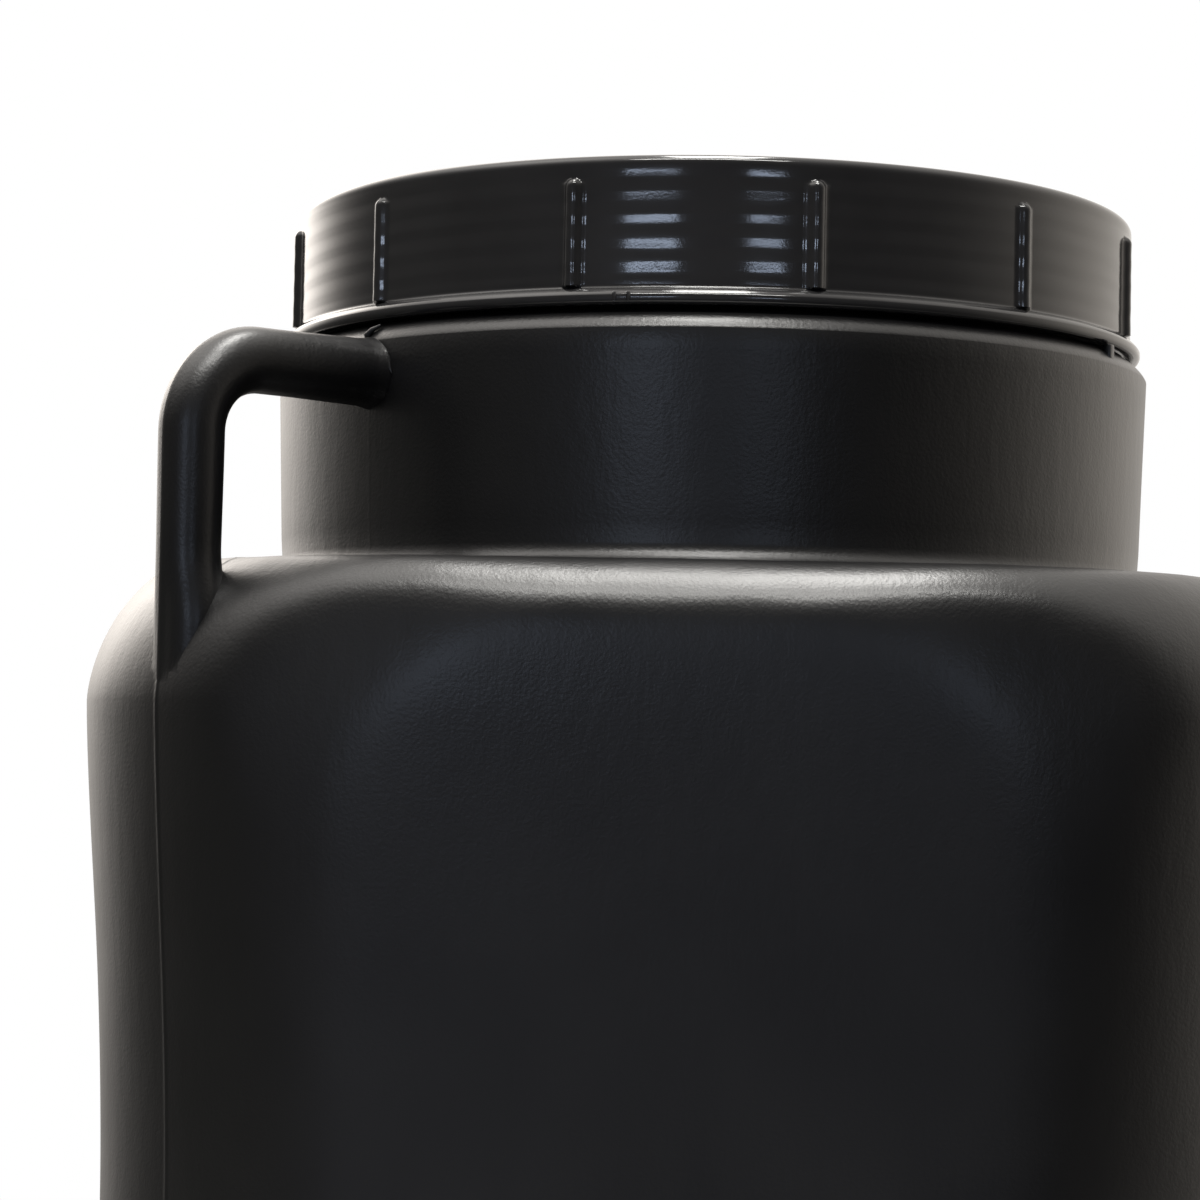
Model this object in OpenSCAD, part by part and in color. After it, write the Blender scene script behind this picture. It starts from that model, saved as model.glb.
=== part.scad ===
// Wide-neck plastic drum: a square blow-moulded body with a round collar,
// a hollow corner handle, a threaded neck and a ribbed screw lid with a flat seal.
// Millimetres, +Z up, origin on the ground under the middle of the body, front towards -Y.

/* [Body] */
// Width of the square body across its bulges
body_w = 284; // [276:1:310]
// Plan radius of the body's four corners
corner_r = 94; // [84:1:104]
// Height of the upper bulge, where the shoulder starts
bulge_z = 264.5; // [200:0.5:330]
// Height of the lower bulge, where the base starts to draw in
foot_z = 32; // [24:1:44]
// Rise of the shoulder from the upper bulge to the foot of the collar
shoulder_h = 35.2; // [30:0.2:44]
// How far the shoulder draws in from the bulge at its top
shoulder_in = 27; // [22:1:34]
// Exponent of the shoulder's curve, 1 for an ellipse and less for a squarer one
shoulder_curve = 1; // [0.7:0.05:1]
// How far the base draws in from the bulge at the ground
foot_in = 24; // [18:1:30]
// How far the waist draws in, halfway between the bulges
waist_in = 6; // [2:0.2:9]
// Exponent of the waist's curve, more for a shorter waist
waist_curve = 1.3; // [1:0.1:2]
// Wall of the blown body, shoulder and collar
wall = 3; // [2.4:0.2:4]
// Depth of the push-up in the middle of the base
push_up = 3; // [1:0.5:6]
// Radius of the push-up
push_up_r = 92; // [60:1:100]

/* [Panels] */
// Width of the sunk panels at the front and back
panel_w = 166; // [140:1:176]
// Height of the panel's top edge above the upper bulge
panel_rise = 22; // [10:1:25]
// Height of the panel's bottom edge above the lower bulge
panel_lift = 14; // [10:1:40]
// Radius of the panel's corners
panel_r = 48; // [30:1:60]
// Least depth of the panel under the body's surface
panel_depth = 3; // [1:0.2:5]
// Depth of the panel's floor under the bulges
panel_set = 6.5; // [5:0.5:9]
// Width of the soft slope round the panel
panel_slope = 14; // [10:1:20]
// Softness of the change between the panel's two depths
panel_blend = 1; // [0.5:0.1:2]

/* [Collar and neck] */
// How far the collar's top stands out from the neck
collar_out = 8.8; // [7.8:0.1:14]
// How much narrower the collar is at its foot
collar_taper = 1.7; // [0:0.1:3]
// Height of the collar
collar_h = 54.3; // [50:0.1:70]
// Rounding of the collar's top edge
collar_edge_r = 2.5; // [1:0.1:3]
// Radius of the neck under its thread
neck_r = 98.2; // [94:0.1:98.5]
// Wall of the neck
neck_wall = 3.2; // [2.6:0.1:4]

/* [Thread] */
// Rise of the thread in one turn
thread_pitch = 5.2; // [4.8:0.1:5.6]
// Height of the neck's thread above the neck
thread_depth = 2; // [1.5:0.1:2.4]
// Axial width of each thread where it leaves its wall
thread_root_w = 2.3; // [1.8:0.1:2.6]
// Axial width of each thread at its crest
thread_tip_w = 1.2; // [0.8:0.1:1.6]
// Clearance between each crest and the wall it faces
thread_gap = 0.4; // [0.3:0.05:0.6]
// Height of the first thread above the collar
thread_lift = 4; // [3.5:0.1:4.5]
// Turns of thread on the neck and in the lid
thread_turns = 4; // [2:0.5:4]
// Plain height of the neck above its thread
thread_land = 3; // [2.5:0.1:6]

/* [Lid] */
// Wall of the lid's skirt
lid_wall = 2.4; // [2:0.1:3]
// Thickness of the lid's top at its rim
lid_top_t = 3.7; // [2.6:0.1:4.5]
// Depth of the dish in the lid's top
lid_dish = 1.2; // [0.5:0.1:1.6]
// Width of the flat rim round the dish
lid_rim_w = 14; // [8:1:24]
// Rounding of the lid's top edge
lid_edge_r = 2.2; // [1:0.1:2.4]
// Gap between the lid and the collar under it
lid_gap = 0.8; // [0.5:0.1:1.5]
// Height of the lip at the skirt's foot
lip_h = 3.7; // [3:0.1:5]
// How far the lip stands out from the skirt
lip_out = 2.4; // [1.5:0.1:3]
// Rounding of the lip's edges
lip_edge_r = 1.3; // [0.6:0.1:1.4]
// Number of grip ribs
rib_count = 12; // [6:1:18]
// Radius of a grip rib
rib_r = 1.9; // [1.4:0.1:2.2]
// How far a rib's middle lies inside the skirt's face
rib_sink = 0.3; // [0.2:0.1:0.6]
// Distance from the ribs' tops to the lid's top
rib_drop = 5; // [3.5:0.1:8]
// Turn of the first rib from +X, in degrees
rib_turn = 14.2; // [0:0.1:30]
// Depth of the plug ring that centres the lid in the mouth
plug_h = 7; // [4:0.5:12]
// Wall of the plug ring
plug_wall = 2.2; // [1.8:0.1:3]
// Clearance between the plug ring and the mouth
plug_gap = 0.5; // [0.4:0.1:0.8]

/* [Seal] */
// Thickness of the flat seal
seal_t = 2.5; // [1.5:0.1:4]
// Clearance at the seal's inner and outer edges
seal_gap = 0.3; // [0.25:0.05:0.4]

/* [Handle] */
// Radius of the handle's tube
handle_r = 7.2; // [6:0.1:8]
// Wall of the handle's tube
handle_wall = 2.8; // [2:0.1:3.5]
// Radius of the handle's bend along the middle of the tube
handle_bend_r = 17; // [12:0.5:18]
// Drop of the handle's arm below the collar's top
handle_drop = 11.7; // [11:0.1:16]
// How far the handle's post lies inside the body's corner
handle_inset = 0.9; // [0.6:0.1:1.5]
// Height of the post's buried foot above the upper bulge
post_lift = 2; // [1:0.5:3]

/* [Hidden] */
$fn = 96;

// heights
shoulder_z = bulge_z + shoulder_h;
collar_z = shoulder_z + collar_h;
thread_z = collar_z + thread_lift;
neck_z = thread_z + thread_turns * thread_pitch + thread_land;
lid_under_z = neck_z + seal_t;
lid_z = lid_under_z + lid_top_t;
lid_foot_z = collar_z + lid_gap;
lip_z = lid_foot_z + lip_h;
handle_z = collar_z - handle_drop;
floor_z = wall + push_up;

// radii
half_w = body_w / 2;
collar_r = neck_r + collar_out;
collar_foot_r = collar_r - collar_taper;
mouth_r = neck_r - neck_wall;
neck_thread_r = neck_r + thread_depth;
lid_in_r = neck_thread_r + thread_gap;
lid_r = lid_in_r + lid_wall;
lip_r = lid_r + lip_out;
lid_thread_r = neck_r + thread_gap;
plug_r = mouth_r - plug_gap;
corner_reach = (half_w - corner_r) * sqrt(2) + corner_r;
arm_x = collar_r - 0.75 * wall;
post_x = round(10 * (corner_reach - handle_inset - handle_r)) / 10;
handle_angle = 225;

// resolution of the faceted forms
outer_steps = 4;
inner_steps = 3;
edge_steps = 5;
thread_steps = 48;
fade_steps = 5;
flat_steps = 4;
corner_angles = [0, 8, 14, 18, 22, 26, 31, 37, 45, 53, 59, 64, 68, 72, 76, 82];

// edge of an arc in a section, from angle a to angle b
function arc(x, y, r, a, b) =
    [for (i = [0:edge_steps]) let(t = a + (b - a) * i / edge_steps) [x + r * cos(t), y + r * sin(t)]];

function smooth(t) = t <= 0 ? 0 : t >= 1 ? 1 : t * t * (3 - 2 * t);

// larger of two values, with the step between them softened
function soft_max(a, b, k) = (a + b + sqrt((a - b) * (a - b) + k * k)) / 2;

// how far the waist draws in at a height between the bulges
function waist(z) =
    waist_in * pow(cos(180 * ((z - foot_z) / (bulge_z - foot_z) - 0.5)), waist_curve);

// distance of a point on the front or back from the panel's outline, negative inside it
function panel_edge(u, z) =
    let(
        low = foot_z + panel_lift,
        high = bulge_z + panel_rise,
        qu = abs(u) - (panel_w / 2 - panel_r),
        qz = abs(z - (low + high) / 2) - ((high - low) / 2 - panel_r)
    )
    min(max(qu, qz), 0) + norm([max(qu, 0), max(qz, 0)]) - panel_r;

// how far the panel sinks in at a point, where the body is drawn in by d
function sink(u, z, d) =
    soft_max(panel_depth, panel_set - d, panel_blend) * smooth(0.5 - panel_edge(u, z) / panel_slope);

// heights of the body's rings from ground to collar, each with how far it draws in
function body_levels(inset, steps) =
    let(
        low = inset > 0 ? floor_z : 0,
        side = 4 * steps,
        foot = [for (i = [0:2 * steps]) let(a = 90 * (1 - i / (2 * steps)))
            [foot_z - (foot_z - low) * sin(a), inset + (foot_in - inset) * (1 - cos(a))]],
        sides = [for (i = [1:side - 1])
            let(z = (foot_z + bulge_z) / 2 - (bulge_z - foot_z) / 2 * cos(180 * i / side))
            [z, inset + waist(z)]],
        shoulder = [for (i = [0:3 * steps]) let(a = 30 * i / steps)
            [bulge_z + (shoulder_h - inset) * pow(sin(a), shoulder_curve),
             inset + (shoulder_in - inset) * (1 - pow(cos(a), shoulder_curve))]]
    )
    concat(foot, sides, shoulder);

// one quarter of a ring's outline: a flat half-side, a corner, then the next side's half
function quarter(h, r) =
    concat(
        [for (i = [0:flat_steps - 1]) [h, (h - r) * (2 * i / flat_steps - 1)]],
        [for (a = corner_angles) [h - r + r * cos(a), h - r + r * sin(a)]]);

function turned(p, q) = [[p.x, p.y], [-p.y, p.x], [-p.x, -p.y], [p.y, -p.x]][q];

function sunk(p, z, d) = [p.x, p.y - sign(p.y) * sink(p.x, z, d), z];

function body_ring(level, inset) =
    [for (q = [0:3])
        for (p = quarter(half_w - level[1], corner_r - level[1]))
            sunk(turned(p, q), level[0], level[1] - inset)];

// blown form of the body, inset by the wall for its hollow
module body_form(inset, steps) {
    levels = body_levels(inset, steps);
    n = 4 * (flat_steps + len(corner_angles));
    top = len(levels) - 1;
    points = [for (level = levels) each body_ring(level, inset)];
    apex = flat_steps + search(45, corner_angles)[0];
    // each quad's diagonal runs along the panel's rounded outline
    sides = [for (k = [0:top - 1]) for (i = [0:n - 1])
        let(
            a = k * n + i,
            b = k * n + (i + 1) % n,
            column = i % (n / 4),
            right = column >= flat_steps / 2 && column < apex,
            high = levels[k][0] > (foot_z + bulge_z) / 2
        )
        each right == high ? [[a, a + n, b], [b, a + n, b + n]] : [[a, a + n, b + n], [a, b + n, b]]];
    base_cap = [for (i = [0:n - 1]) (apex + i) % n];
    top_cap = [for (i = [0:n - 1]) top * n + (apex + n - i) % n];
    polyhedron(points, concat(sides, [base_cap, top_cap]), convexity = 8);
}

// helical ridge that grows from inside a wall at buried_r to a crest at tip_r
module thread_ridge(buried_r, wall_r, tip_r) {
    flank = (thread_root_w - thread_tip_w) / 2 / abs(tip_r - wall_r);
    buried_w = thread_root_w + 2 * flank * abs(wall_r - buried_r);
    shy_r = (buried_r + wall_r) / 2;
    n = round(thread_turns * thread_steps);
    points = [for (i = [0:n])
        let(
            a = 360 * i / thread_steps,
            z = thread_z + thread_pitch * i / thread_steps,
            r = shy_r + (tip_r - shy_r) * smooth(min(i, n - i) / fade_steps)
        )
        each [for (s = [[buried_r, -buried_w], [r, -thread_tip_w], [r, thread_tip_w], [buried_r, buried_w]])
            [s[0] * cos(a), s[0] * sin(a), z + s[1] / 2]]];
    sides = [for (i = [0:n - 1]) for (k = [0:3])
        let(a = 4 * i + k, b = 4 * i + (k + 1) % 4)
        each [[a, b, b + 4], [a, b + 4, a + 4]]];
    ends = [[3, 2, 1, 0], [4 * n, 4 * n + 1, 4 * n + 2, 4 * n + 3]];
    faces = concat(sides, ends);
    inward = tip_r < buried_r;
    polyhedron(points, inward ? [for (f = faces) [for (k = [len(f) - 1:-1:0]) f[k]]] : faces, convexity = 10);
}

// tube along the handle's path, from the collar over the bend and down to the corner
module handle_path(r, start_x, post_z) {
    bend_x = post_x - handle_bend_r;
    bend_z = handle_z - handle_bend_r;
    rotate(handle_angle) {
        translate([start_x, 0, handle_z]) rotate([0, 90, 0]) cylinder(r = r, h = bend_x - start_x);
        translate([bend_x, 0, bend_z]) rotate([90, 0, 0])
            rotate_extrude(angle = 90) translate([handle_bend_r, 0]) circle(r = r);
        translate([post_x, 0, post_z]) cylinder(r = r, h = bend_z - post_z);
    }
}

module collar_and_neck() {
    rim_r = neck_wall / 4;
    rotate_extrude() polygon(concat(
        [[0, shoulder_z - wall / 2], [collar_foot_r, shoulder_z - wall / 2], [collar_foot_r, shoulder_z]],
        arc(collar_r - collar_edge_r, collar_z - collar_edge_r, collar_edge_r, 0, 90),
        [[neck_r, collar_z]],
        arc(neck_r - rim_r, neck_z - rim_r, rim_r, 0, 90),
        [[0, neck_z]]));
}

// room inside the collar and through the mouth
module collar_hollow() {
    below = shoulder_z - 3 * wall;
    above = neck_z + wall;
    rotate_extrude() polygon([
        [0, below], [collar_foot_r - wall, below], [collar_foot_r - wall, shoulder_z],
        [collar_r - wall, collar_z - wall], [mouth_r, collar_z - wall], [mouth_r, above], [0, above]]);
}

module base_push_up() {
    translate([0, 0, -wall]) cylinder(r1 = push_up_r + wall + push_up, r2 = push_up_r, h = wall + push_up);
}

module drum_body() {
    color([0.07, 0.07, 0.08]) {
        difference() {
            union() {
                body_form(0, outer_steps);
                collar_and_neck();
                handle_path(handle_r, arm_x, bulge_z + post_lift);
            }
            body_form(wall, inner_steps);
            collar_hollow();
            handle_path(handle_r - handle_wall, arm_x - 2 * wall, bulge_z - post_lift);
            base_push_up();
        }
        thread_ridge(neck_r - neck_wall / 2, neck_r, neck_thread_r);
    }
}

// one grip rib: a round bar with a domed top, partly sunk in the skirt
module grip_rib() {
    top = lid_z - rib_drop;
    translate([lid_r - rib_sink, 0, 0]) rotate_extrude() polygon(concat(
        [[0, lip_z - lip_h / 2], [rib_r, lip_z - lip_h / 2]],
        arc(0, top - rib_r, rib_r, 0, 90)));
}

module screw_lid() {
    dish_r = lid_r - lid_rim_w;
    crest_r = lid_thread_r / cos(180 / thread_steps);
    color([0.08, 0.08, 0.09]) {
        rotate_extrude() polygon(concat(
            [[0, lid_under_z], [lid_in_r, lid_under_z], [lid_in_r, lid_foot_z + lip_edge_r]],
            [[lid_in_r + lip_edge_r, lid_foot_z]],
            arc(lip_r - lip_edge_r, lid_foot_z + lip_edge_r, lip_edge_r, -90, 0),
            arc(lip_r - lip_edge_r, lip_z - lip_edge_r, lip_edge_r, 0, 90),
            [[lid_r, lip_z]],
            arc(lid_r - lid_edge_r, lid_z - lid_edge_r, lid_edge_r, 0, 90),
            [[dish_r, lid_z], [dish_r - lid_dish, lid_z - lid_dish], [0, lid_z - lid_dish]]));
        rotate_extrude() polygon([
            [plug_r - plug_wall, lid_under_z - plug_h], [plug_r - plug_wall / 2, lid_under_z - plug_h],
            [plug_r, lid_under_z - plug_h + plug_wall], [plug_r, lid_under_z + lid_top_t / 4],
            [plug_r - plug_wall, lid_under_z + lid_top_t / 4]]);
        for (i = [0:rib_count - 1])
            rotate(rib_turn + 360 * i / rib_count) grip_rib();
        rotate(180) thread_ridge(lid_in_r + lid_wall / 2, lid_in_r, crest_r);
    }
}

module seal_ring() {
    color([0.16, 0.16, 0.17])
        translate([0, 0, neck_z]) rotate_extrude()
            translate([plug_r + seal_gap, 0]) square([lid_thread_r - plug_r - 2 * seal_gap, seal_t]);
}

drum_body();
screw_lid();
seal_ring();
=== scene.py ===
import math

import bmesh
import bpy
from mathutils import Matrix, Vector, noise


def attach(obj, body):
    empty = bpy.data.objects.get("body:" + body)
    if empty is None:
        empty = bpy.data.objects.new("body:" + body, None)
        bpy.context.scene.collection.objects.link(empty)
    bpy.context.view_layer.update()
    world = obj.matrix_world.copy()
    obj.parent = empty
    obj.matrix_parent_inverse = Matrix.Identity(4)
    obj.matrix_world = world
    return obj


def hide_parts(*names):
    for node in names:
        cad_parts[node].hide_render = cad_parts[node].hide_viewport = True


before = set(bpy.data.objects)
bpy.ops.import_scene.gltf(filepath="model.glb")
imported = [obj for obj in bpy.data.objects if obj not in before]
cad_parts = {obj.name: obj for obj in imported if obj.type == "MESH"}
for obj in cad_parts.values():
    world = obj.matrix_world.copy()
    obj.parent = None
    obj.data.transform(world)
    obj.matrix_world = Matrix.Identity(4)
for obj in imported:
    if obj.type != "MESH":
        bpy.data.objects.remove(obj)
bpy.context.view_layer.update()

# Sizes are in millimetres, with +Z up and the front towards -Y. They follow the solids', with a closer fit
# of the shoulder, the panels and the collar's top edge.
MM = 0.001
TURN = 2 * math.pi

# Body
HALF_W = 142.0
CORNER_R = 94.0
CORNER_C = HALF_W - CORNER_R
BULGE_Z = 267.0
FOOT_Z = 32.0
SHOULDER_H = 31.7
SHOULDER_IN = 21.5
SHOULDER_CURVE = 1.2
SHOULDER_Z = BULGE_Z + SHOULDER_H
FOOT_IN = 24.0
WAIST_IN = 6.0
WAIST_CURVE = 1.3
WALL = 3.0
PUSH_UP = 3.0
PUSH_UP_R = 92.0
PUSH_UP_EDGE = 1.5
BASE_RING_R = PUSH_UP_R + 3.2
FLOOR_Z = WALL + PUSH_UP
BODY_COLUMNS = 320

# Flat sunk panels at the front and back
PANEL_DEPTH = 7.5
PANEL_WAIST = 0.3
PANEL_BLEND = 2.2
PANEL_W = 146.8
PANEL_LOW = 14.0
PANEL_FOOT = 58.0
PANEL_FOOT_H = 28.0
PANEL_FOOT_RISE = 1.4
PANEL_HIGH = 288.0
PANEL_R = 52.0
PANEL_FALL = 0.24
PANEL_FALL_BLEND = 6.0

# Collar and neck
COLLAR_R = 107.0
COLLAR_FOOT_R = COLLAR_R - 1.7
COLLAR_Z = 354.0
COLLAR_EDGE = 4.5
COLLAR_FILLET = 4.5
NECK_R = 98.2
NECK_Z = COLLAR_Z + 27.8
NECK_FILLET = 0.8
MOUTH_R = 95.0
RIM_EDGE = 0.8
SLANT_CURVE = 1.55

# Thread
PITCH = 5.2
THREAD_Z = COLLAR_Z + 4.0
THREAD_TURNS = 4
THREAD_ROOT_W = 2.3
THREAD_TIP_W = 1.2
THREAD_STEPS = 120
THREAD_FADE = PITCH / 12
NECK_THREAD_R = 100.2
NECK_THREAD_BURIED_R = NECK_R - 1.6
LID_THREAD_R = 98.6

# Lid
LID_IN_R = 100.6
LID_IN_EDGE = 0.6
LID_THREAD_BURIED_R = LID_IN_R + 1.2
LID_R = 103.0
LID_UNDER_Z = NECK_Z + 2.5
LID_Z = LID_UNDER_Z + 3.7
LID_FOOT_Z = COLLAR_Z + 0.8
LID_EDGE = 2.2
DISH = 1.2
DISH_R = LID_R - 14.0
DISH_SLOPE = 3.0
LIP_R = 105.4
LIP_Z = LID_FOOT_Z + 3.7
LIP_EDGE = 1.3
LIP_TOP_EDGE = 1.7
LIP_FILLET = 0.7
RIBS = 12
RIB_R = 1.9
RIB_SINK = 0.3
RIB_BLEND = 0.15
RIB_TOP_Z = LID_Z - 5.0
RIB_TURN = math.radians(14.2)
RIB_COLUMNS = 32
RIB_DENSE = 0.1
PLUG_R = 94.5
PLUG_WALL = 2.2
PLUG_H = 7.0
PLUG_ROOT = 0.5
PLUG_EDGE = 0.3

# Seal
SEAL_IN_R = PLUG_R + 0.3
SEAL_OUT_R = LID_THREAD_R - 0.3
SEAL_EDGE = 0.3
SEAL_COLUMNS = 192

# Handle at the left front corner, along X before it is turned there
HANDLE_R = 7.2
HANDLE_Z = COLLAR_Z - 11.7
HANDLE_BORE_R = 4.4
BEND_R = 17.0
POST_X = 154.3
ARM_X = 104.75
HANDLE_TURN = math.radians(225)
ROOT_FLARE = 0.7
ARM_FLARE = 0.3
POST_TAPER = 0.2
POST_WEB = Vector((-0.3, 0.95, 0)).normalized()
WEB_OUT = 2.6
WEB_TOP_Z = 300.0
WEB_H = 17.0
HANDLE_SEAM_H = 0.2
HANDLE_SEAM_W = 0.6

# Mould marks: the parting line, waves, wrinkles and a streak of the body, the thread's sink marks on
# the lid, the notches beside the lid's gate, and the nub on the collar
PARTING_H = 0.16
PARTING_W = 0.55
PARTING_DENSE = 0.45
PARTING_TRIM = 0.12
WAVE_H = 0.12
WAVE_L = 42.0
WRINKLE_H = 0.16
WRINKLE_Z = 280.0
STREAK_H = 0.13
STREAK_W = 2.6
STREAK_X = -37.9
STREAK_LOW = 90.0
STREAK_HIGH = 260.0
CLEAN_NECK_RINGS = 12
SINK_SLOPE = 0.03
SINK_SHARE = 0.4
SINK_PHASE = 0.07
GATE_TURN = math.radians(260.77)
GATE_STEP = math.radians(0.85)
NOTCH_R = 0.5
NOTCH_H = 6.0
NUB_TURN = math.radians(333.2)
NUB_SIZE = (2.2, 2.6, 4.0)
NUB_EDGE = 0.5

# Flash where the handle's arm meets the collar: degrees round the collar, height and radius of a bead
ARM_FLASH = [
    (223.9, 350.1, 0.4),
    (225, 349.7, 0.8),
    (226.3, 349.0, 0.95),
    (227.4, 347.7, 0.75),
    (228.3, 346.3, 0.85),
    (228.9, 344.2, 0.6),
    (229.5, 341.6, 0.15),
]
ARM_FLASH_BRANCH = [
    (224.4, 349.8, 0.6),
    (224.3, 351, 0.75),
    (225, 352.2, 0.65),
    (225.9, 353.3, 0.35),
]

# Floor
STUDIO_FLOOR_R = 500.0
STUDIO_FLOOR_FADE_R = 220.0


def smooth(t):
    """Step from 0 to 1 with soft ends."""
    t = min(max(t, 0.0), 1.0)
    return t * t * (3 - 2 * t)


def mix(a, b, t):
    return a + (b - a) * t


def soft_max(a, b, k):
    """Larger of two values, with the corner between them rounded over k."""
    return (a + b + math.hypot(a - b, k)) / 2


def soft_min(a, b, k):
    return -soft_max(-a, -b, k)


# Form of the blown body

def waist(z):
    """How far the sides draw in between the two bulges."""
    return WAIST_IN * max(0.0, math.cos(math.pi * ((z - FOOT_Z) / (BULGE_Z - FOOT_Z) - 0.5))) ** WAIST_CURVE


def panel_floor(x, z):
    """Distance of the panels' flat floor from the middle. It falls away outside a round-cornered square
    and rises to the lower bulge."""
    qx = abs(x) - (PANEL_W / 2 - PANEL_R)
    qz = abs(z - (PANEL_LOW + PANEL_HIGH) / 2) - ((PANEL_HIGH - PANEL_LOW) / 2 - PANEL_R)
    outside = min(max(qx, qz), 0) + math.hypot(max(qx, 0), max(qz, 0)) - PANEL_R
    drawn = waist(z) if FOOT_Z < z < BULGE_Z else 0
    depth = PANEL_DEPTH * (1 - PANEL_FOOT_RISE * smooth((PANEL_FOOT - z) / PANEL_FOOT_H))
    fall = PANEL_FALL * soft_max(outside, 0, PANEL_FALL_BLEND)
    return HALF_W - depth - PANEL_WAIST * drawn - fall


def square_point(turn, drawn):
    """Point of the rounded square plan, drawn in from the bulges, in the direction of turn."""
    ca, sa = math.cos(turn), math.sin(turn)
    long, short = max(abs(ca), abs(sa)), min(abs(ca), abs(sa))
    half, corner = HALF_W - drawn, CORNER_R - drawn
    if half * short <= CORNER_C * long:
        reach = half / long
    else:
        reach = CORNER_C * (long + short) + math.sqrt(corner ** 2 - CORNER_C ** 2 * (long - short) ** 2)
    return reach * ca, reach * sa


def draw_in(x, y):
    """How far a point of the plan lies inside the outline of the bulges."""
    qx, qy = abs(x) - CORNER_C, abs(y) - CORNER_C
    return CORNER_R - min(max(qx, qy), 0) - math.hypot(max(qx, 0), max(qy, 0))


def shoulder_height(drawn, inset):
    """Height of the shoulder's curve where the plan is drawn in that far, inset by a wall."""
    share = min(max((drawn - inset) / (SHOULDER_IN - inset), 0.0), 1.0)
    rise = (1 - (1 - share) ** (2 / SHOULDER_CURVE)) ** (SHOULDER_CURVE / 2)
    return BULGE_Z + (SHOULDER_H - inset) * rise


def sunk(x, y, z, inset):
    """A point of the body with the panels pressed in flat."""
    return Vector((x, math.copysign(soft_min(abs(y), panel_floor(x, z) - inset, PANEL_BLEND), y), z))


# Rings: each gives a point for every direction, and a spun grid is fitted to a list of them

def round_ring(r, z):
    return lambda turn: Vector((r * math.cos(turn), r * math.sin(turn), z))


def side_ring(z, drawn, inset):
    return lambda turn: sunk(*square_point(turn, drawn), z, inset)


def floor_ring(r, share, z, drawn):
    """Part of the way from a round ring to the rounded square at the same height."""
    def at(turn):
        x, y = square_point(turn, drawn)
        return Vector((mix(r * math.cos(turn), x, share), mix(r * math.sin(turn), y, share), z))
    return at


def shoulder_ring(share, inset, collar_r):
    def at(turn):
        reach = draw_in(collar_r * math.cos(turn), collar_r * math.sin(turn))
        drawn = mix(inset, reach, share)
        return sunk(*square_point(turn, drawn), shoulder_height(drawn, inset), inset)
    return at


def collar_foot_ring(angle):
    """Hollow fillet between the shoulder and the collar."""
    collar_r = COLLAR_FOOT_R + COLLAR_FILLET

    def at(turn):
        z = shoulder_height(draw_in(collar_r * math.cos(turn), collar_r * math.sin(turn)), 0)
        r = collar_r - COLLAR_FILLET * math.sin(angle)
        return Vector((r * math.cos(turn), r * math.sin(turn), z + COLLAR_FILLET * (1 - math.cos(angle))))
    return at


def spread(start, end, steps):
    return [mix(start, end, i / steps) for i in range(steps + 1)]


def arc_rings(r, z, radius, start, end, steps):
    """Rings of a rounded edge about a circle at r and z, from angle start to angle end in degrees."""
    angles = [math.radians(angle) for angle in spread(start, end, steps)]
    return [round_ring(r + radius * math.cos(a), z + radius * math.sin(a)) for a in angles]


def slant_rings(r, z, size, start, end, steps):
    """Rings of an edge that is cut off at a slant with soft corners, in the first quarter of a circle."""
    rings = []
    for angle in spread(start, end, steps):
        a = math.radians(angle)
        out = max(0.0, math.cos(a)) ** SLANT_CURVE
        rise = math.sin(a) ** SLANT_CURVE
        rings.append(round_ring(r + size * out, z + size * rise))
    return rings


def outer_rings():
    """Outer skin of the body, from the middle of the base up to the neck's rim."""
    push_up_in = PUSH_UP_R - 1
    rings = [round_ring(r, PUSH_UP) for r in spread(0, push_up_in, 6)]
    rings += arc_rings(push_up_in, PUSH_UP - PUSH_UP_EDGE, PUSH_UP_EDGE, 90, 45, 3)[1:]
    rings += [round_ring(PUSH_UP_R + 2.6, 0.25), round_ring(BASE_RING_R, 0)]
    rings += [floor_ring(BASE_RING_R, share, 0, FOOT_IN) for share in (0.25, 0.6, 0.9)]
    for angle in spread(90, 0, 14):
        a = math.radians(angle)
        rings.append(side_ring(FOOT_Z * (1 - math.sin(a)), FOOT_IN * (1 - math.cos(a)), 0))
    rings += [side_ring(z, waist(z), 0) for z in spread(FOOT_Z, BULGE_Z, 64)[1:-1]]
    for angle in spread(0, 90, 30):
        share = 1 - math.cos(math.radians(angle)) ** SHOULDER_CURVE
        rings.append(shoulder_ring(share, 0, COLLAR_FOOT_R + COLLAR_FILLET))
    rings += [collar_foot_ring(math.radians(angle)) for angle in spread(0, 90, 5)[1:]]
    wall_top = COLLAR_Z - COLLAR_EDGE
    for share in spread(0, 1, 10)[1:-1]:
        z = mix(SHOULDER_Z + COLLAR_FILLET, wall_top, share)
        r = mix(COLLAR_FOOT_R, COLLAR_R, (z - SHOULDER_Z) / (wall_top - SHOULDER_Z))
        rings.append(round_ring(r, z))
    rings += slant_rings(COLLAR_R - COLLAR_EDGE, wall_top, COLLAR_EDGE, 0, 90, 12)
    rings += [round_ring(NECK_R + NECK_FILLET + 2, COLLAR_Z)]
    rings += arc_rings(NECK_R + NECK_FILLET, COLLAR_Z + NECK_FILLET, NECK_FILLET, 270, 180, 3)
    rings += [round_ring(NECK_R, z) for z in spread(COLLAR_Z + NECK_FILLET, NECK_Z - RIM_EDGE, 6)[1:-1]]
    rings += arc_rings(NECK_R - RIM_EDGE, NECK_Z - RIM_EDGE, RIM_EDGE, 0, 90, 4)
    return rings


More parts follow.
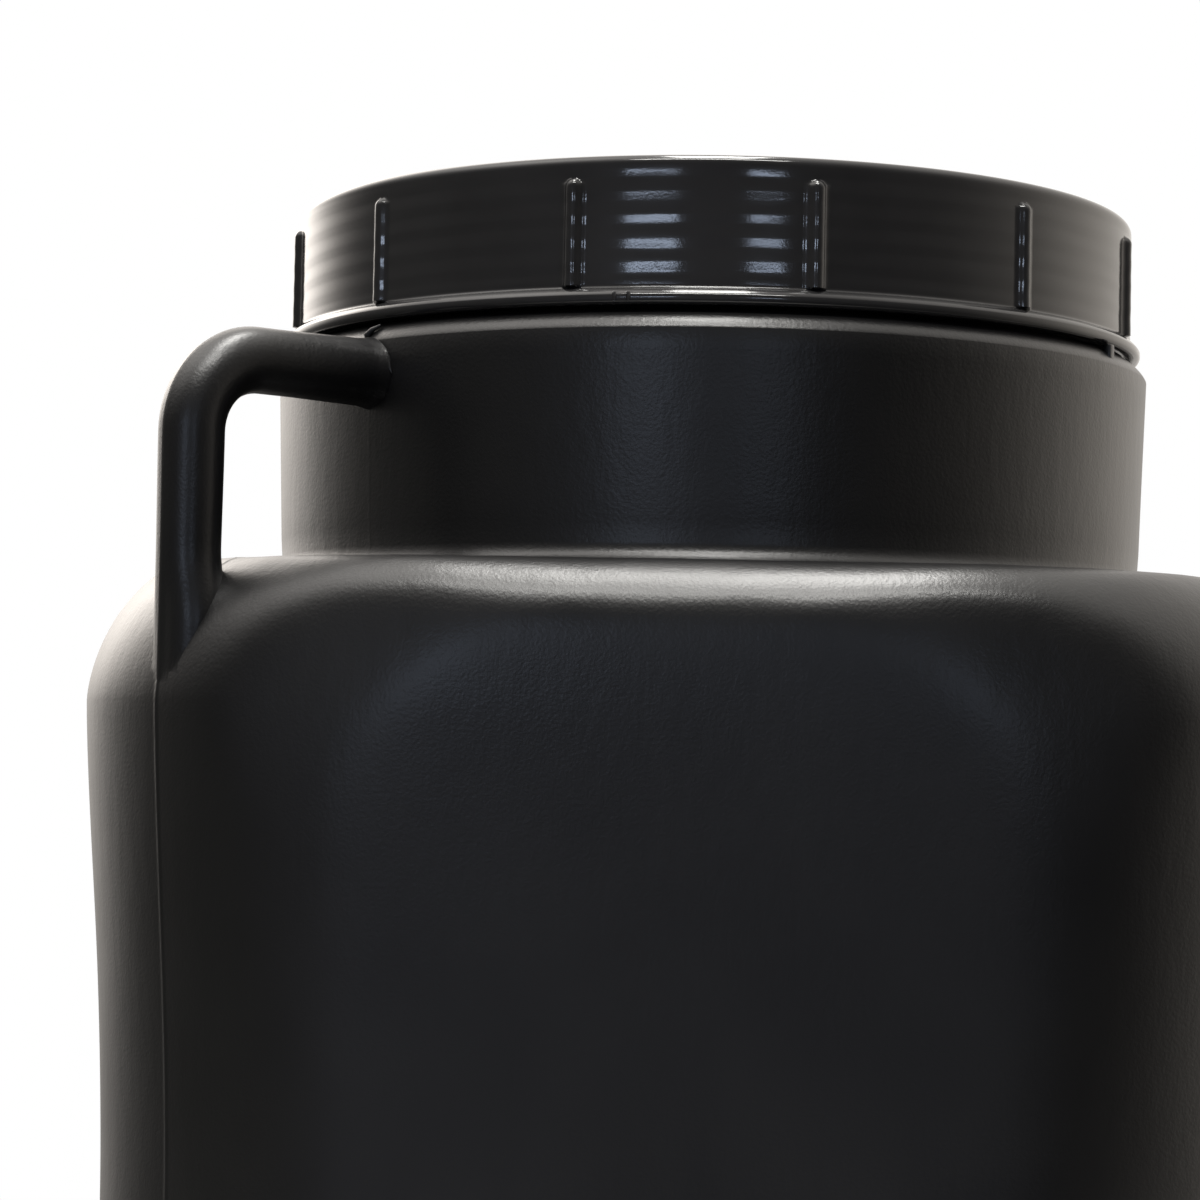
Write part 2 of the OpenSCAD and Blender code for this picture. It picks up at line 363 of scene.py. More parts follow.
def inner_rings():
    """Inside of the body, from the neck's rim down to the middle of the floor."""
    rings = arc_rings(MOUTH_R + RIM_EDGE, NECK_Z - RIM_EDGE, RIM_EDGE, 90, 180, 4)
    ceiling = COLLAR_Z - WALL
    rings += [round_ring(MOUTH_R, mix(NECK_Z, ceiling, 0.5)), round_ring(MOUTH_R, ceiling + 1)]
    rings += [round_ring(MOUTH_R + 1, ceiling)]
    rings += arc_rings(COLLAR_R - WALL - 2, ceiling - 2, 2, 90, 0, 4)
    foot_r = COLLAR_FOOT_R - WALL
    rings += [round_ring(mix(COLLAR_R - WALL, foot_r, share), mix(ceiling - 2, SHOULDER_Z, share))
              for share in (0.5, 1)]
    for angle in spread(90, 0, 14):
        share = 1 - math.cos(math.radians(angle)) ** SHOULDER_CURVE
        rings.append(shoulder_ring(share, WALL, foot_r))
    rings += [side_ring(z, WALL + waist(z), WALL) for z in spread(BULGE_Z, FOOT_Z, 32)[1:-1]]
    for angle in spread(0, 90, 8):
        a = math.radians(angle)
        drawn = WALL + (FOOT_IN - WALL) * (1 - math.cos(a))
        rings.append(side_ring(FOOT_Z - (FOOT_Z - FLOOR_Z) * math.sin(a), drawn, WALL))
    rings += [floor_ring(PUSH_UP_R, share, FLOOR_Z, FOOT_IN) for share in (0.6, 0)]
    rings += [round_ring(r, FLOOR_Z) for r in spread(PUSH_UP_R, 0, 4)[1:]]
    return rings


# Meshes, and the body with its handle

def parting_spacing(turn):
    """Moves the columns of a grid closer to the mould's parting plane through the handle."""
    return turn - PARTING_DENSE * math.sin(2 * (turn - HANDLE_TURN))


def spun_grid(rings, steps, spacing):
    """Quads spun from a line of vertices and fitted to the rings. Each vertex keeps its ring's number."""
    shape = bmesh.new()
    number = shape.verts.layers.int.new("ring")
    line = [shape.verts.new((1, 0, k)) for k in range(len(rings))]
    edges = [shape.edges.new(pair) for pair in zip(line, line[1:])]
    bmesh.ops.spin(shape, geom=line + edges, cent=(0, 0, 0), axis=(0, 0, 1), angle=TURN, steps=steps,
                   use_merge=True)
    for vert in shape.verts:
        vert[number] = round(vert.co.z)
        vert.co = rings[vert[number]](spacing(math.atan2(vert.co.y, vert.co.x)))
    bmesh.ops.remove_doubles(shape, verts=shape.verts, dist=0.0005)
    bmesh.ops.recalc_face_normals(shape, faces=shape.faces)
    shape.normal_update()
    return shape


def finished(name, shape, sharp_angle):
    """Object in metres at the origin, smooth apart from edges over the sharp angle."""
    bmesh.ops.scale(shape, vec=(MM, MM, MM), verts=shape.verts)
    mesh = bpy.data.meshes.new(name)
    shape.to_mesh(mesh)
    shape.free()
    mesh.shade_smooth()
    mesh.set_sharp_from_angle(angle=math.radians(sharp_angle))
    piece = bpy.data.objects.new(name, mesh)
    bpy.context.scene.collection.objects.link(piece)
    return piece


def combine(piece, tool, operation):
    """Joins the tool to the piece or cuts it away, then drops the tool."""
    step = piece.modifiers.new(operation.lower(), "BOOLEAN")
    step.operation = operation
    step.solver = "EXACT"
    step.object = tool
    result = bpy.data.meshes.new_from_object(piece.evaluated_get(bpy.context.evaluated_depsgraph_get()))
    piece.modifiers.clear()
    piece.data = result
    bpy.data.objects.remove(tool)


def parting_ridge(p):
    """Height of the mould's parting line, which is trimmed on the collar."""
    if math.hypot(p.x, p.y) <= COLLAR_FOOT_R - 1 or p.z <= 1:
        return 0.0
    height = PARTING_H * (PARTING_TRIM if p.z > SHOULDER_Z else 1)
    return height * math.exp(-((p.x - p.y) / math.sqrt(2) / PARTING_W) ** 2)


def shoulder_wrinkle(p):
    """Height of the small wrinkles on the shoulder."""
    on_shoulder = smooth((p.z - WRINKLE_Z) / 12) * smooth((SHOULDER_Z + 1 - p.z) / 1.5)
    return WRINKLE_H * on_shoulder * noise.noise(Vector((p.x / 11, p.y / 11, p.z / 6)))


def panel_streak(p):
    """Height of the faint streak on the front panel, which bends to the left near its top."""
    if p.y >= -100 or not STREAK_LOW < p.z < STREAK_HIGH:
        return 0.0
    x = STREAK_X - 14.1 * max(0.0, (p.z - 171) / 73) ** 2.2
    fade = smooth((p.z - STREAK_LOW) / 40) * smooth((STREAK_HIGH - p.z) / 14)
    return STREAK_H * math.exp(-((p.x - x) / STREAK_W) ** 2) * fade


def mould_marks(shape, skin_rings):
    """Presses the parting line, the slight waves of blown plastic and the streak into the outer skin."""
    number = shape.verts.layers.int["ring"]
    moves = []
    for vert in shape.verts:
        if vert[number] >= skin_rings:
            continue
        p = vert.co
        wave = WAVE_H * noise.noise(p / WAVE_L)
        height = parting_ridge(p) + wave + shoulder_wrinkle(p) + panel_streak(p)
        moves.append((vert, vert.normal * height))
    for vert, move in moves:
        vert.co += move


def edges_of(geometry):
    return [g for g in geometry if isinstance(g, bmesh.types.BMEdge)]


def tube_path(shape, radius, segments, start_x, post_end_z, straight_steps, bend_steps):
    """Tube from the collar along X, round the bend and down the post, built from one circle."""
    bend_x, bend_z = POST_X - BEND_R, HANDLE_Z - BEND_R
    circle = bmesh.ops.create_circle(shape, cap_ends=True, segments=segments, radius=radius)
    start = Matrix.Translation((start_x, 0, HANDLE_Z)) @ Matrix.Rotation(-TURN / 4, 4, "Y")
    bmesh.ops.transform(shape, matrix=start, verts=circle["verts"])
    end = shape.edges[:]
    runs = [
        ((bend_x - start_x) / straight_steps, 0, 0, straight_steps),
        (0, 0, TURN / 4, bend_steps),
        (0, (post_end_z - bend_z) / straight_steps, 0, straight_steps),
    ]
    for dx, dz, angle, steps in runs:
        swept = bmesh.ops.spin(shape, geom=end, cent=(bend_x, 0, bend_z), axis=(0, 1, 0), dvec=(dx, 0, dz),
                               angle=angle, steps=steps)
        end = edges_of(swept["geom_last"])
    bmesh.ops.contextual_create(shape, geom=end)


def handle_tube():
    """Solid tube of the handle, flared where it meets the collar and slanted inside the shoulder's wall."""
    shape = bmesh.new()
    bend_z = HANDLE_Z - BEND_R
    tube_path(shape, HANDLE_R, 56, ARM_X, BULGE_Z, 24, 20)
    turned = Matrix.Rotation(HANDLE_TURN, 4, "Z")
    for vert in shape.verts:
        p = vert.co
        along = p.x - COLLAR_R
        if p.x < POST_X - BEND_R + 0.01 and p.z > bend_z:
            out = Vector((0, p.y, p.z - HANDLE_Z))
            flare = ROOT_FLARE * (1 - smooth((along + 1) / 5)) ** 2
            flare += ARM_FLARE * (1 - smooth((along - 2) / 22))
            vert.co += out.normalized() * flare
        elif p.z < bend_z:
            share = (bend_z - p.z) / (bend_z - BULGE_Z)
            world = turned @ p
            mid_wall = shoulder_height(draw_in(world.x, world.y), WALL / 2)
            vert.co.z = mix(bend_z, mid_wall, share)
            out = Vector((p.x - POST_X, p.y, 0)).normalized()
            web = WEB_OUT * smooth((WEB_TOP_Z - vert.co.z) / WEB_H) * max(0.0, out.dot(POST_WEB))
            vert.co += out * (web - POST_TAPER * smooth((bend_z - vert.co.z) / 30))
        seam = HANDLE_SEAM_H * math.exp(-(vert.co.y / HANDLE_SEAM_W) ** 2)
        vert.co += vert.normal * seam
    bmesh.ops.transform(shape, matrix=turned, verts=shape.verts)
    bmesh.ops.recalc_face_normals(shape, faces=shape.faces)
    return finished("handle_tube", shape, 180)


def handle_bore():
    """Cutter for the inside of the handle, open to the collar and the shoulder."""
    shape = bmesh.new()
    tube_path(shape, HANDLE_BORE_R, 24, ARM_X - 2 * WALL, BULGE_Z - 2, 4, 12)
    bmesh.ops.transform(shape, matrix=Matrix.Rotation(HANDLE_TURN, 4, "Z"), verts=shape.verts)
    bmesh.ops.recalc_face_normals(shape, faces=shape.faces)
    return finished("handle_bore", shape, 180)


def thread_ridge(name, buried_r, wall_r, tip_r, start_turn):
    """Helical ridge with faded ends, swept from one section."""
    shape = bmesh.new()
    flank = (THREAD_ROOT_W - THREAD_TIP_W) / 2 / abs(tip_r - wall_r)
    buried_w = THREAD_ROOT_W + 2 * flank * abs(wall_r - buried_r)
    corners = [(buried_r, -buried_w), (tip_r, -THREAD_TIP_W), (tip_r, THREAD_TIP_W), (buried_r, buried_w)]
    section = [shape.verts.new((r, 0, THREAD_Z + w / 2)) for r, w in corners]
    start = list(shape.faces.new(section).edges)
    rise = (0, 0, PITCH / THREAD_STEPS)
    swept = bmesh.ops.spin(shape, geom=start, cent=(0, 0, 0), axis=(0, 0, 1), dvec=rise,
                           angle=TURN * THREAD_TURNS, steps=THREAD_STEPS * THREAD_TURNS)
    bmesh.ops.contextual_create(shape, geom=edges_of(swept["geom_last"]))
    length = PITCH * THREAD_TURNS
    shy_r = (buried_r + wall_r) / 2
    for vert in shape.verts:
        r = math.hypot(vert.co.x, vert.co.y)
        if abs(r - tip_r) > abs(tip_r - wall_r) / 2:
            continue
        along = vert.co.z - THREAD_Z
        share = smooth(min(along + THREAD_TIP_W / 2, length - along + THREAD_TIP_W / 2) / THREAD_FADE)
        scale = mix(shy_r, tip_r, share) / r
        vert.co.x *= scale
        vert.co.y *= scale
    bmesh.ops.rotate(shape, cent=(0, 0, 0), matrix=Matrix.Rotation(start_turn, 3, "Z"), verts=shape.verts)
    bmesh.ops.recalc_face_normals(shape, faces=shape.faces)
    return finished(name, shape, 30)


def bead(name, points, radii):
    """Round bead swept along a line of points, with a radius at each of them."""
    shape = bmesh.new()
    circle = bmesh.ops.create_circle(shape, cap_ends=True, segments=10, radius=1)
    ring, edges = circle["verts"], shape.edges[:]
    last = Matrix.Identity(4)
    for i, (point, radius) in enumerate(zip(points, radii)):
        along = points[min(i + 1, len(points) - 1)] - points[max(i - 1, 0)]
        turned = along.to_track_quat("Z", "Y").to_matrix().to_4x4()
        place = Matrix.Translation(point) @ turned @ Matrix.Scale(radius, 4)
        if i:
            swept = bmesh.ops.extrude_edge_only(shape, edges=edges)["geom"]
            ring = [g for g in swept if isinstance(g, bmesh.types.BMVert)]
            edges = [e for e in edges_of(swept) if all(v in ring for v in e.verts)]
        bmesh.ops.transform(shape, matrix=place @ last.inverted(), verts=ring)
        last = place
    bmesh.ops.contextual_create(shape, geom=edges)
    bmesh.ops.recalc_face_normals(shape, faces=shape.faces)
    return finished(name, shape, 180)


def collar_point(degrees, z):
    """Point on the collar's side or just over its slanted top edge."""
    over = max(0.0, z - (COLLAR_Z - COLLAR_EDGE))
    r = COLLAR_R - COLLAR_EDGE + math.sqrt(max(0.0, COLLAR_EDGE ** 2 - over ** 2))
    return Vector((r * math.cos(math.radians(degrees)), r * math.sin(math.radians(degrees)), z))


def collar_flash(name, places):
    """Ragged bead of flash on the collar."""
    points = [collar_point(degrees, z) for degrees, z, radius in places]
    return bead(name, points, [radius for degrees, z, radius in places])


def gap_nub():
    """Small stop on the collar's top edge, under the lid's lip."""
    shape = bmesh.new()
    cube = bmesh.ops.create_cube(shape, size=1)
    bmesh.ops.scale(shape, vec=NUB_SIZE, verts=cube["verts"])
    bmesh.ops.bevel(shape, geom=shape.edges[:], offset=NUB_EDGE, segments=2, profile=0.5, affect="EDGES",
                    material=-1)
    bmesh.ops.translate(shape, vec=(COLLAR_R - 2.1, 0, COLLAR_Z - 1.4), verts=shape.verts)
    bmesh.ops.rotate(shape, cent=(0, 0, 0), matrix=Matrix.Rotation(NUB_TURN, 3, "Z"), verts=shape.verts)
    return finished("gap_nub", shape, 180)


def drum_body():
    outer = outer_rings()
    shape = spun_grid(outer + inner_rings(), BODY_COLUMNS, parting_spacing)
    mould_marks(shape, len(outer) - CLEAN_NECK_RINGS)
    body = finished("blown_drum", shape, 180)
    combine(body, handle_tube(), "UNION")
    combine(body, handle_bore(), "DIFFERENCE")
    combine(body, collar_flash("arm_flash", ARM_FLASH), "UNION")
    combine(body, collar_flash("arm_flash_branch", ARM_FLASH_BRANCH), "UNION")
    combine(body, gap_nub(), "UNION")
    combine(body, thread_ridge("neck_thread", NECK_THREAD_BURIED_R, NECK_R, NECK_THREAD_R, 0), "UNION")
    body.data.shade_smooth()
    body.data.set_sharp_from_angle(angle=math.radians(40))
    return body


# Lid

def rib_offset(turn):
    """Distance round the skirt from the middle of the nearest rib."""
    share = (turn - RIB_TURN) / TURN * RIBS
    return (share - round(share)) * TURN / RIBS * LID_R


def rib_height(turn, z):
    """How far a round-topped rib stands out of the skirt."""
    u = rib_offset(turn)
    over = max(0.0, z - (RIB_TOP_Z - RIB_R))
    square = RIB_R ** 2 - u ** 2 - over ** 2
    return soft_max(math.sqrt(square) - RIB_SINK, 0, RIB_BLEND) if square > 0 else 0.0


def sink_wave(turn, z):
    """Depth of the marks where the thread inside has drawn the skirt in, each with a crease below."""
    share = ((z - THREAD_Z) / PITCH - turn / TURN - SINK_PHASE) % 1
    if share < SINK_SHARE:
        depth = 1 - share / SINK_SHARE
    else:
        depth = smooth((share - SINK_SHARE) / (1 - SINK_SHARE))
    uneven = 0.9 + 0.7 * noise.noise(Vector((9 * math.cos(turn), 9 * math.sin(turn), z / 4)))
    fade = smooth((z - LIP_Z - 1) / 2) * smooth((LID_Z - LID_EDGE - z) / 2)
    return SINK_SLOPE * PITCH * SINK_SHARE * uneven * fade * depth


def skirt_ring(z):
    def at(turn):
        r = LID_R + rib_height(turn, z) - sink_wave(turn, z)
        return Vector((r * math.cos(turn), r * math.sin(turn), z))
    return at


def lid_rings():
    """Lid from the middle of its dish over the skirt and the lip to the middle of its underside."""
    dish_in = DISH_R - DISH_SLOPE
    rings = [round_ring(r, LID_Z - DISH) for r in spread(0, dish_in, 6)]
    for share in spread(0, 1, 5)[1:]:
        rings.append(round_ring(dish_in + DISH_SLOPE * share, LID_Z - DISH * (1 - smooth(share))))
    rings += [round_ring(mix(DISH_R, LID_R - LID_EDGE, 0.5), LID_Z)]
    rings += arc_rings(LID_R - LID_EDGE, LID_Z - LID_EDGE, LID_EDGE, 90, 0, 8)
    rings += [skirt_ring(z) for z in spread(LID_Z - LID_EDGE - 0.3, RIB_TOP_Z - RIB_R, 18)]
    rings += [skirt_ring(z) for z in spread(RIB_TOP_Z - RIB_R, LIP_Z + LIP_FILLET, 84)[1:]]
    rings += arc_rings(LID_R + LIP_FILLET, LIP_Z + LIP_FILLET, LIP_FILLET, 180, 270, 3)[1:]
    rings += slant_rings(LIP_R - LIP_TOP_EDGE, LIP_Z - LIP_TOP_EDGE, LIP_TOP_EDGE, 90, 0, 10)
    rings += arc_rings(LIP_R - LIP_EDGE, LID_FOOT_Z + LIP_EDGE, LIP_EDGE, 0, -90, 6)
    rings += [round_ring(LID_IN_R + LIP_EDGE, LID_FOOT_Z), round_ring(LID_IN_R, LID_FOOT_Z + LIP_EDGE)]
    inside_top = LID_UNDER_Z - LID_IN_EDGE
    rings += [round_ring(LID_IN_R, z) for z in spread(LID_FOOT_Z + LIP_EDGE, inside_top, 4)[1:]]
    rings += [round_ring(LID_IN_R - LID_IN_EDGE, LID_UNDER_Z), round_ring(PLUG_R + PLUG_ROOT, LID_UNDER_Z)]
    plug_z, plug_in = LID_UNDER_Z - PLUG_H, PLUG_R - PLUG_WALL
    rings += [round_ring(PLUG_R, LID_UNDER_Z - PLUG_ROOT), round_ring(PLUG_R, plug_z + PLUG_WALL)]
    rings += [round_ring(PLUG_R - PLUG_WALL / 2, plug_z), round_ring(plug_in + PLUG_EDGE, plug_z)]
    rings += [round_ring(plug_in, plug_z + PLUG_EDGE), round_ring(plug_in, LID_UNDER_Z - PLUG_ROOT)]
    rings += [round_ring(r, LID_UNDER_Z) for r in spread(plug_in - PLUG_ROOT, 0, 5)]
    return rings


def rib_spacing(turn):
    """Moves the columns of a grid closer to the ribs."""
    share = turn / TURN * RIBS
    t = share - round(share)
    moved = RIB_DENSE * t + 4 * (1 - RIB_DENSE) * t ** 3
    return RIB_TURN + (round(share) + moved) * TURN / RIBS


def gate_notch(side):
    """Cutter for one of the two small notches beside the moulding gate on the lip."""
    shape = bmesh.new()
    bmesh.ops.create_cone(shape, cap_ends=True, segments=16, radius1=NOTCH_R, radius2=NOTCH_R, depth=NOTCH_H)
    bmesh.ops.translate(shape, vec=(LIP_R + 0.05, 0, LIP_Z), verts=shape.verts)
    turn = Matrix.Rotation(GATE_TURN + side * GATE_STEP, 3, "Z")
    bmesh.ops.rotate(shape, cent=(0, 0, 0), matrix=turn, verts=shape.verts)
    return finished("gate_notch", shape, 180)


def screw_lid():
    lid = finished("screw_cap", spun_grid(lid_rings(), RIB_COLUMNS * RIBS, rib_spacing), 50)
    combine(lid, thread_ridge("cap_thread", LID_THREAD_BURIED_R, LID_IN_R, LID_THREAD_R, TURN / 2), "UNION")
    for side in (-1, 1):
        combine(lid, gate_notch(side), "DIFFERENCE")
    lid.data.shade_smooth()
    lid.data.set_sharp_from_angle(angle=math.radians(50))
    return lid


def seal_ring():
    foot, top = NECK_Z + SEAL_EDGE, LID_UNDER_Z - SEAL_EDGE
    rings = arc_rings(SEAL_OUT_R - SEAL_EDGE, foot, SEAL_EDGE, -90, 0, 3)
    rings += arc_rings(SEAL_OUT_R - SEAL_EDGE, top, SEAL_EDGE, 0, 90, 3)
    rings += arc_rings(SEAL_IN_R + SEAL_EDGE, top, SEAL_EDGE, 90, 180, 3)
    rings += arc_rings(SEAL_IN_R + SEAL_EDGE, foot, SEAL_EDGE, 180, 270, 3)
    rings.append(rings[0])
    return finished("rubber_seal", spun_grid(rings, SEAL_COLUMNS, lambda turn: turn), 60)


# Materials

def new_material(name):
    material = bpy.data.materials.new(name)
    material.use_nodes = True
    tree = material.node_tree
    return material, tree, tree.nodes["Principled BSDF"], tree.nodes.new("ShaderNodeTexCoord")


def noise_node(tree, coords, scale, detail, stretch=(1, 1, 1)):
    mapping = tree.nodes.new("ShaderNodeMapping")
    mapping.inputs["Scale"].default_value = stretch
    tree.links.new(coords.outputs["Object"], mapping.inputs["Vector"])
    texture = tree.nodes.new("ShaderNodeTexNoise")
    texture.inputs["Scale"].default_value = scale
    texture.inputs["Detail"].default_value = detail
    tree.links.new(mapping.outputs["Vector"], texture.inputs["Vector"])
    return texture.outputs["Fac"]


def ranged(tree, value, low, high, from_low=0.3, from_high=0.7):
    """Value of a noise, stretched to run from low to high."""
    node = tree.nodes.new("ShaderNodeMapRange")
    node.inputs["From Min"].default_value = from_low
    node.inputs["From Max"].default_value = from_high
    node.inputs["To Min"].default_value = low
    node.inputs["To Max"].default_value = high
    tree.links.new(value, node.inputs["Value"])
    return node.outputs["Result"]


def two_tone(tree, value, dark, light):
    ramp = tree.nodes.new("ShaderNodeValToRGB")
    ramp.color_ramp.elements[0].position = 0.3
    ramp.color_ramp.elements[1].position = 0.7
    ramp.color_ramp.elements[0].color = (*dark, 1)
    ramp.color_ramp.elements[1].color = (*light, 1)
    tree.links.new(value, ramp.inputs["Fac"])
    return ramp.outputs["Color"]


def bump_node(tree, height, strength, distance, under=None):
    node = tree.nodes.new("ShaderNodeBump")
    node.inputs["Strength"].default_value = strength
    node.inputs["Distance"].default_value = distance
    tree.links.new(height, node.inputs["Height"])
    if under:
        tree.links.new(under, node.inputs["Normal"])
    return node.outputs["Normal"]


def body_plastic():
    """Black satin polyethylene with the fine grain of a blasted mould and faint flow streaks."""
    material, tree, shader, coords = new_material("black_satin_plastic")
    clouds = noise_node(tree, coords, 28, 4)
    grain = noise_node(tree, coords, 1350, 2)
    skin = noise_node(tree, coords, 330, 3, (1, 1, 0.45))
    streaks = noise_node(tree, coords, 160, 3, (1, 1, 0.04))
    tree.links.new(two_tone(tree, clouds, (0.0050, 0.0050, 0.0056), (0.0070, 0.0069, 0.0075)),
                   shader.inputs["Base Color"])
    tree.links.new(ranged(tree, clouds, 0.31, 0.36), shader.inputs["Roughness"])
    shader.inputs["Specular IOR Level"].default_value = 0.7
    flow = bump_node(tree, skin, 0.12, 0.0005, bump_node(tree, streaks, 0.12, 0.0004))
    tree.links.new(bump_node(tree, grain, 0.25, 0.0002, flow), shader.inputs["Normal"])
    return material


def lid_plastic():
    """Black semi-gloss moulded plastic."""
    material, tree, shader, coords = new_material("black_gloss_plastic")
    clouds = noise_node(tree, coords, 40, 4)
    grain = noise_node(tree, coords, 1900, 2)
    tree.links.new(two_tone(tree, clouds, (0.023, 0.0226, 0.0235), (0.031, 0.0305, 0.0315)),
                   shader.inputs["Base Color"])
    tree.links.new(ranged(tree, clouds, 0.085, 0.115), shader.inputs["Roughness"])
    shader.inputs["Specular IOR Level"].default_value = 0.6
    tree.links.new(bump_node(tree, grain, 0.08, 0.0001), shader.inputs["Normal"])
    return material


def seal_rubber():
    """Dark matt rubber with a fine grain."""
    material, tree, shader, coords = new_material("dark_rubber")
    clouds = noise_node(tree, coords, 90, 5)
    grain = noise_node(tree, coords, 2400, 2)
    tree.links.new(two_tone(tree, clouds, (0.02, 0.02, 0.021), (0.032, 0.032, 0.033)),
                   shader.inputs["Base Color"])
    tree.links.new(ranged(tree, clouds, 0.6, 0.75), shader.inputs["Roughness"])
    tree.links.new(bump_node(tree, grain, 0.25, 0.0002), shader.inputs["Normal"])
    return material


def floor_surface():
    """Pale floor that fades out towards its edge."""
    material, tree, shader, coords = new_material("pale_floor")
    shader.inputs["Base Color"].default_value = (0.84, 0.84, 0.83, 1)
    shader.inputs["Roughness"].default_value = 0.7
    length = tree.nodes.new("ShaderNodeVectorMath")
    length.operation = "LENGTH"
    tree.links.new(coords.outputs["Object"], length.inputs[0])
    fade = ranged(tree, length.outputs["Value"], 0, 1, STUDIO_FLOOR_FADE_R * MM, STUDIO_FLOOR_R * MM)
    clear = tree.nodes.new("ShaderNodeBsdfTransparent")
    blend = tree.nodes.new("ShaderNodeMixShader")
    tree.links.new(fade, blend.inputs["Fac"])
    tree.links.new(shader.outputs["BSDF"], blend.inputs[1])
    tree.links.new(clear.outputs["BSDF"], blend.inputs[2])
    tree.links.new(blend.outputs["Shader"], tree.nodes["Material Output"].inputs["Surface"])
    return material


# Studio

def pale_floor():
    shape = bmesh.new()
    bmesh.ops.create_circle(shape, cap_ends=True, segments=96, radius=STUDIO_FLOOR_R)
    floor = finished("studio_floor", shape, 180)
    floor.data.materials.append(floor_surface())


# Soft glows of the room: degrees to the right of straight in front, degrees up, tightness and colour
GLOWS = [
    (-14, -11, 8.0, (0.16, 0.162, 0.185)),
    (122, 8, 5.5, (1.0, 0.92, 0.82)),
    (180, 20, 4.0, (0.80, 0.76, 0.72)),
    (-143, 24, 20.0, (5.6, 5.2, 4.8)),
    (180, 72, 3.2, (0.65, 0.63, 0.6)),
    (-85, 64, 12.0, (2.4, 2.3, 2.2)),
    (95, 56, 12.0, (0.5, 0.48, 0.45)),
    (-75, -25, 5.0, (0.09, 0.09, 0.08)),
]


def white_studio():
    """Room lit by soft glows behind and beside the drum and dark in front, pure white to the camera."""
    world = bpy.data.worlds.new("studio")
    bpy.context.scene.world = world
    world.use_nodes = True
    tree = world.node_tree
    tree.nodes.clear()
    coords = tree.nodes.new("ShaderNodeTexCoord")
    room = tree.nodes.new("ShaderNodeBackground")
    total = None
    for side, rise, tightness, colour in GLOWS:
        a, e = math.radians(side), math.radians(rise)
        toward = tree.nodes.new("ShaderNodeVectorMath")
        toward.operation = "DOT_PRODUCT"
        level = math.cos(e)
        toward.inputs[1].default_value = (level * math.sin(a), -level * math.cos(a), math.sin(e))
        tree.links.new(coords.outputs["Generated"], toward.inputs[0])
        fall = tree.nodes.new("ShaderNodeMath")
        fall.operation = "MULTIPLY_ADD"
        fall.inputs[1].default_value = tightness
        fall.inputs[2].default_value = -tightness
        tree.links.new(toward.outputs["Value"], fall.inputs[0])
        power = tree.nodes.new("ShaderNodeMath")
        power.operation = "EXPONENT"
        tree.links.new(fall.outputs[0], power.inputs[0])
        glow = tree.nodes.new("ShaderNodeVectorMath")
        glow.operation = "MULTIPLY_ADD"
        glow.inputs[1].default_value = colour
        tree.links.new(power.outputs[0], glow.inputs[0])
        if total:
            tree.links.new(total, glow.inputs[2])
        else:
            glow.inputs[2].default_value = (0, 0, 0)
        total = glow.outputs["Vector"]
    tree.links.new(total, room.inputs["Color"])
    white = tree.nodes.new("ShaderNodeBackground")
    white.inputs["Color"].default_value = (1, 1, 1, 1)
    path = tree.nodes.new("ShaderNodeLightPath")
    blend = tree.nodes.new("ShaderNodeMixShader")
    tree.links.new(path.outputs["Is Camera Ray"], blend.inputs["Fac"])
    tree.links.new(room.outputs["Background"], blend.inputs[1])
    tree.links.new(white.outputs["Background"], blend.inputs[2])
    output = tree.nodes.new("ShaderNodeOutputWorld")
    tree.links.new(blend.outputs["Shader"], output.inputs["Surface"])


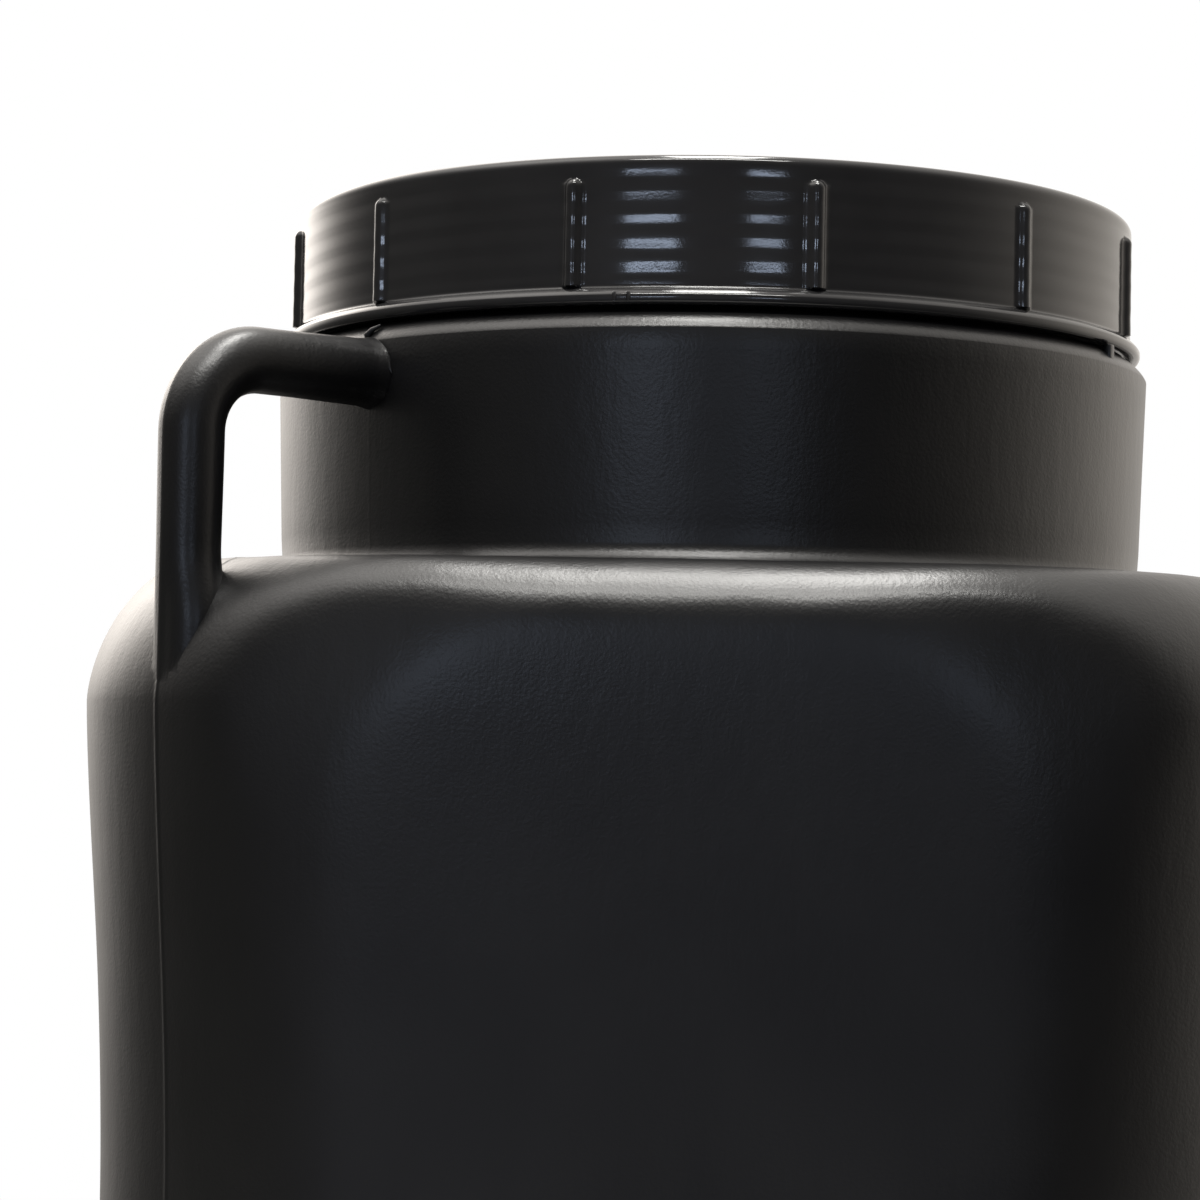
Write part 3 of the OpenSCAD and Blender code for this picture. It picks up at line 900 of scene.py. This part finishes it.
def soft_box(name, place, aim, width, height, radiance, colour):
    """Soft box that looks as bright as the radiance."""
    lamp = bpy.data.lights.new(name, "AREA")
    lamp.shape = "RECTANGLE"
    lamp.size = width
    lamp.size_y = height
    lamp.energy = radiance * width * height * math.pi
    lamp.color = colour
    box = bpy.data.objects.new(name, lamp)
    box.location = place
    box.rotation_euler = (Vector(aim) - Vector(place)).to_track_quat("-Z", "Y").to_euler()
    bpy.context.scene.collection.objects.link(box)


def soft_lights():
    soft_box("overhead_strip", (0, 0.04, 1.9), (0, 0.04, 0), 0.32, 0.95, 19, (1, 0.985, 0.95))
    lid_front = (0, -0.1, 0.36)
    soft_box("high_front_box", (0, -0.8, 1.75), lid_front, 0.85, 0.16, 25, (1, 0.985, 0.95))
    soft_box("left_window", (-0.40, -1.60, 0.535), lid_front, 0.37, 0.045, 13, (0.66, 0.78, 1))
    soft_box("right_window", (0.42, -1.60, 0.535), lid_front, 0.24, 0.04, 12, (0.66, 0.78, 1))


def photo_camera():
    """Camera at the photo's place: millimetres, degrees, and a focal length in the photo's pixels."""
    distance, height, side_turn = 775.4, 260.2, 1.63
    yaw, pitch, roll = math.radians(-1.966), math.radians(2.575), math.radians(1.159)
    focal, image_width, sensor = 3118.2, 1200, 36
    forward = Vector((math.sin(yaw) * math.cos(pitch), math.cos(yaw) * math.cos(pitch), math.sin(pitch)))
    level = Vector((math.cos(yaw), -math.sin(yaw), 0))
    above = level.cross(forward)
    right = level * math.cos(roll) + above * math.sin(roll)
    up = above * math.cos(roll) - level * math.sin(roll)
    turned = Matrix((right, up, -forward)).transposed().to_4x4()
    turned.translation = Vector((0, -distance, height)) * MM
    lens = bpy.data.cameras.new("photo_camera")
    lens.sensor_width = sensor
    lens.lens = sensor * focal / image_width
    lens.clip_start = 0.01
    camera = bpy.data.objects.new("photo_camera", lens)
    camera.matrix_world = Matrix.Rotation(math.radians(side_turn), 4, "Z") @ turned
    bpy.context.scene.collection.objects.link(camera)
    bpy.context.scene.camera = camera


def dress(piece, node, body, material):
    piece.data.materials.clear()
    piece.data.materials.append(material)
    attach(piece, body)
    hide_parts(node)


photo_camera()
white_studio()
soft_lights()
pale_floor()
dress(drum_body(), "drum_body", "drum", body_plastic())
dress(screw_lid(), "screw_lid", "lid", lid_plastic())
dress(seal_ring(), "seal_ring", "seal", seal_rubber())

bpy.context.scene.view_settings.view_transform = "Standard"
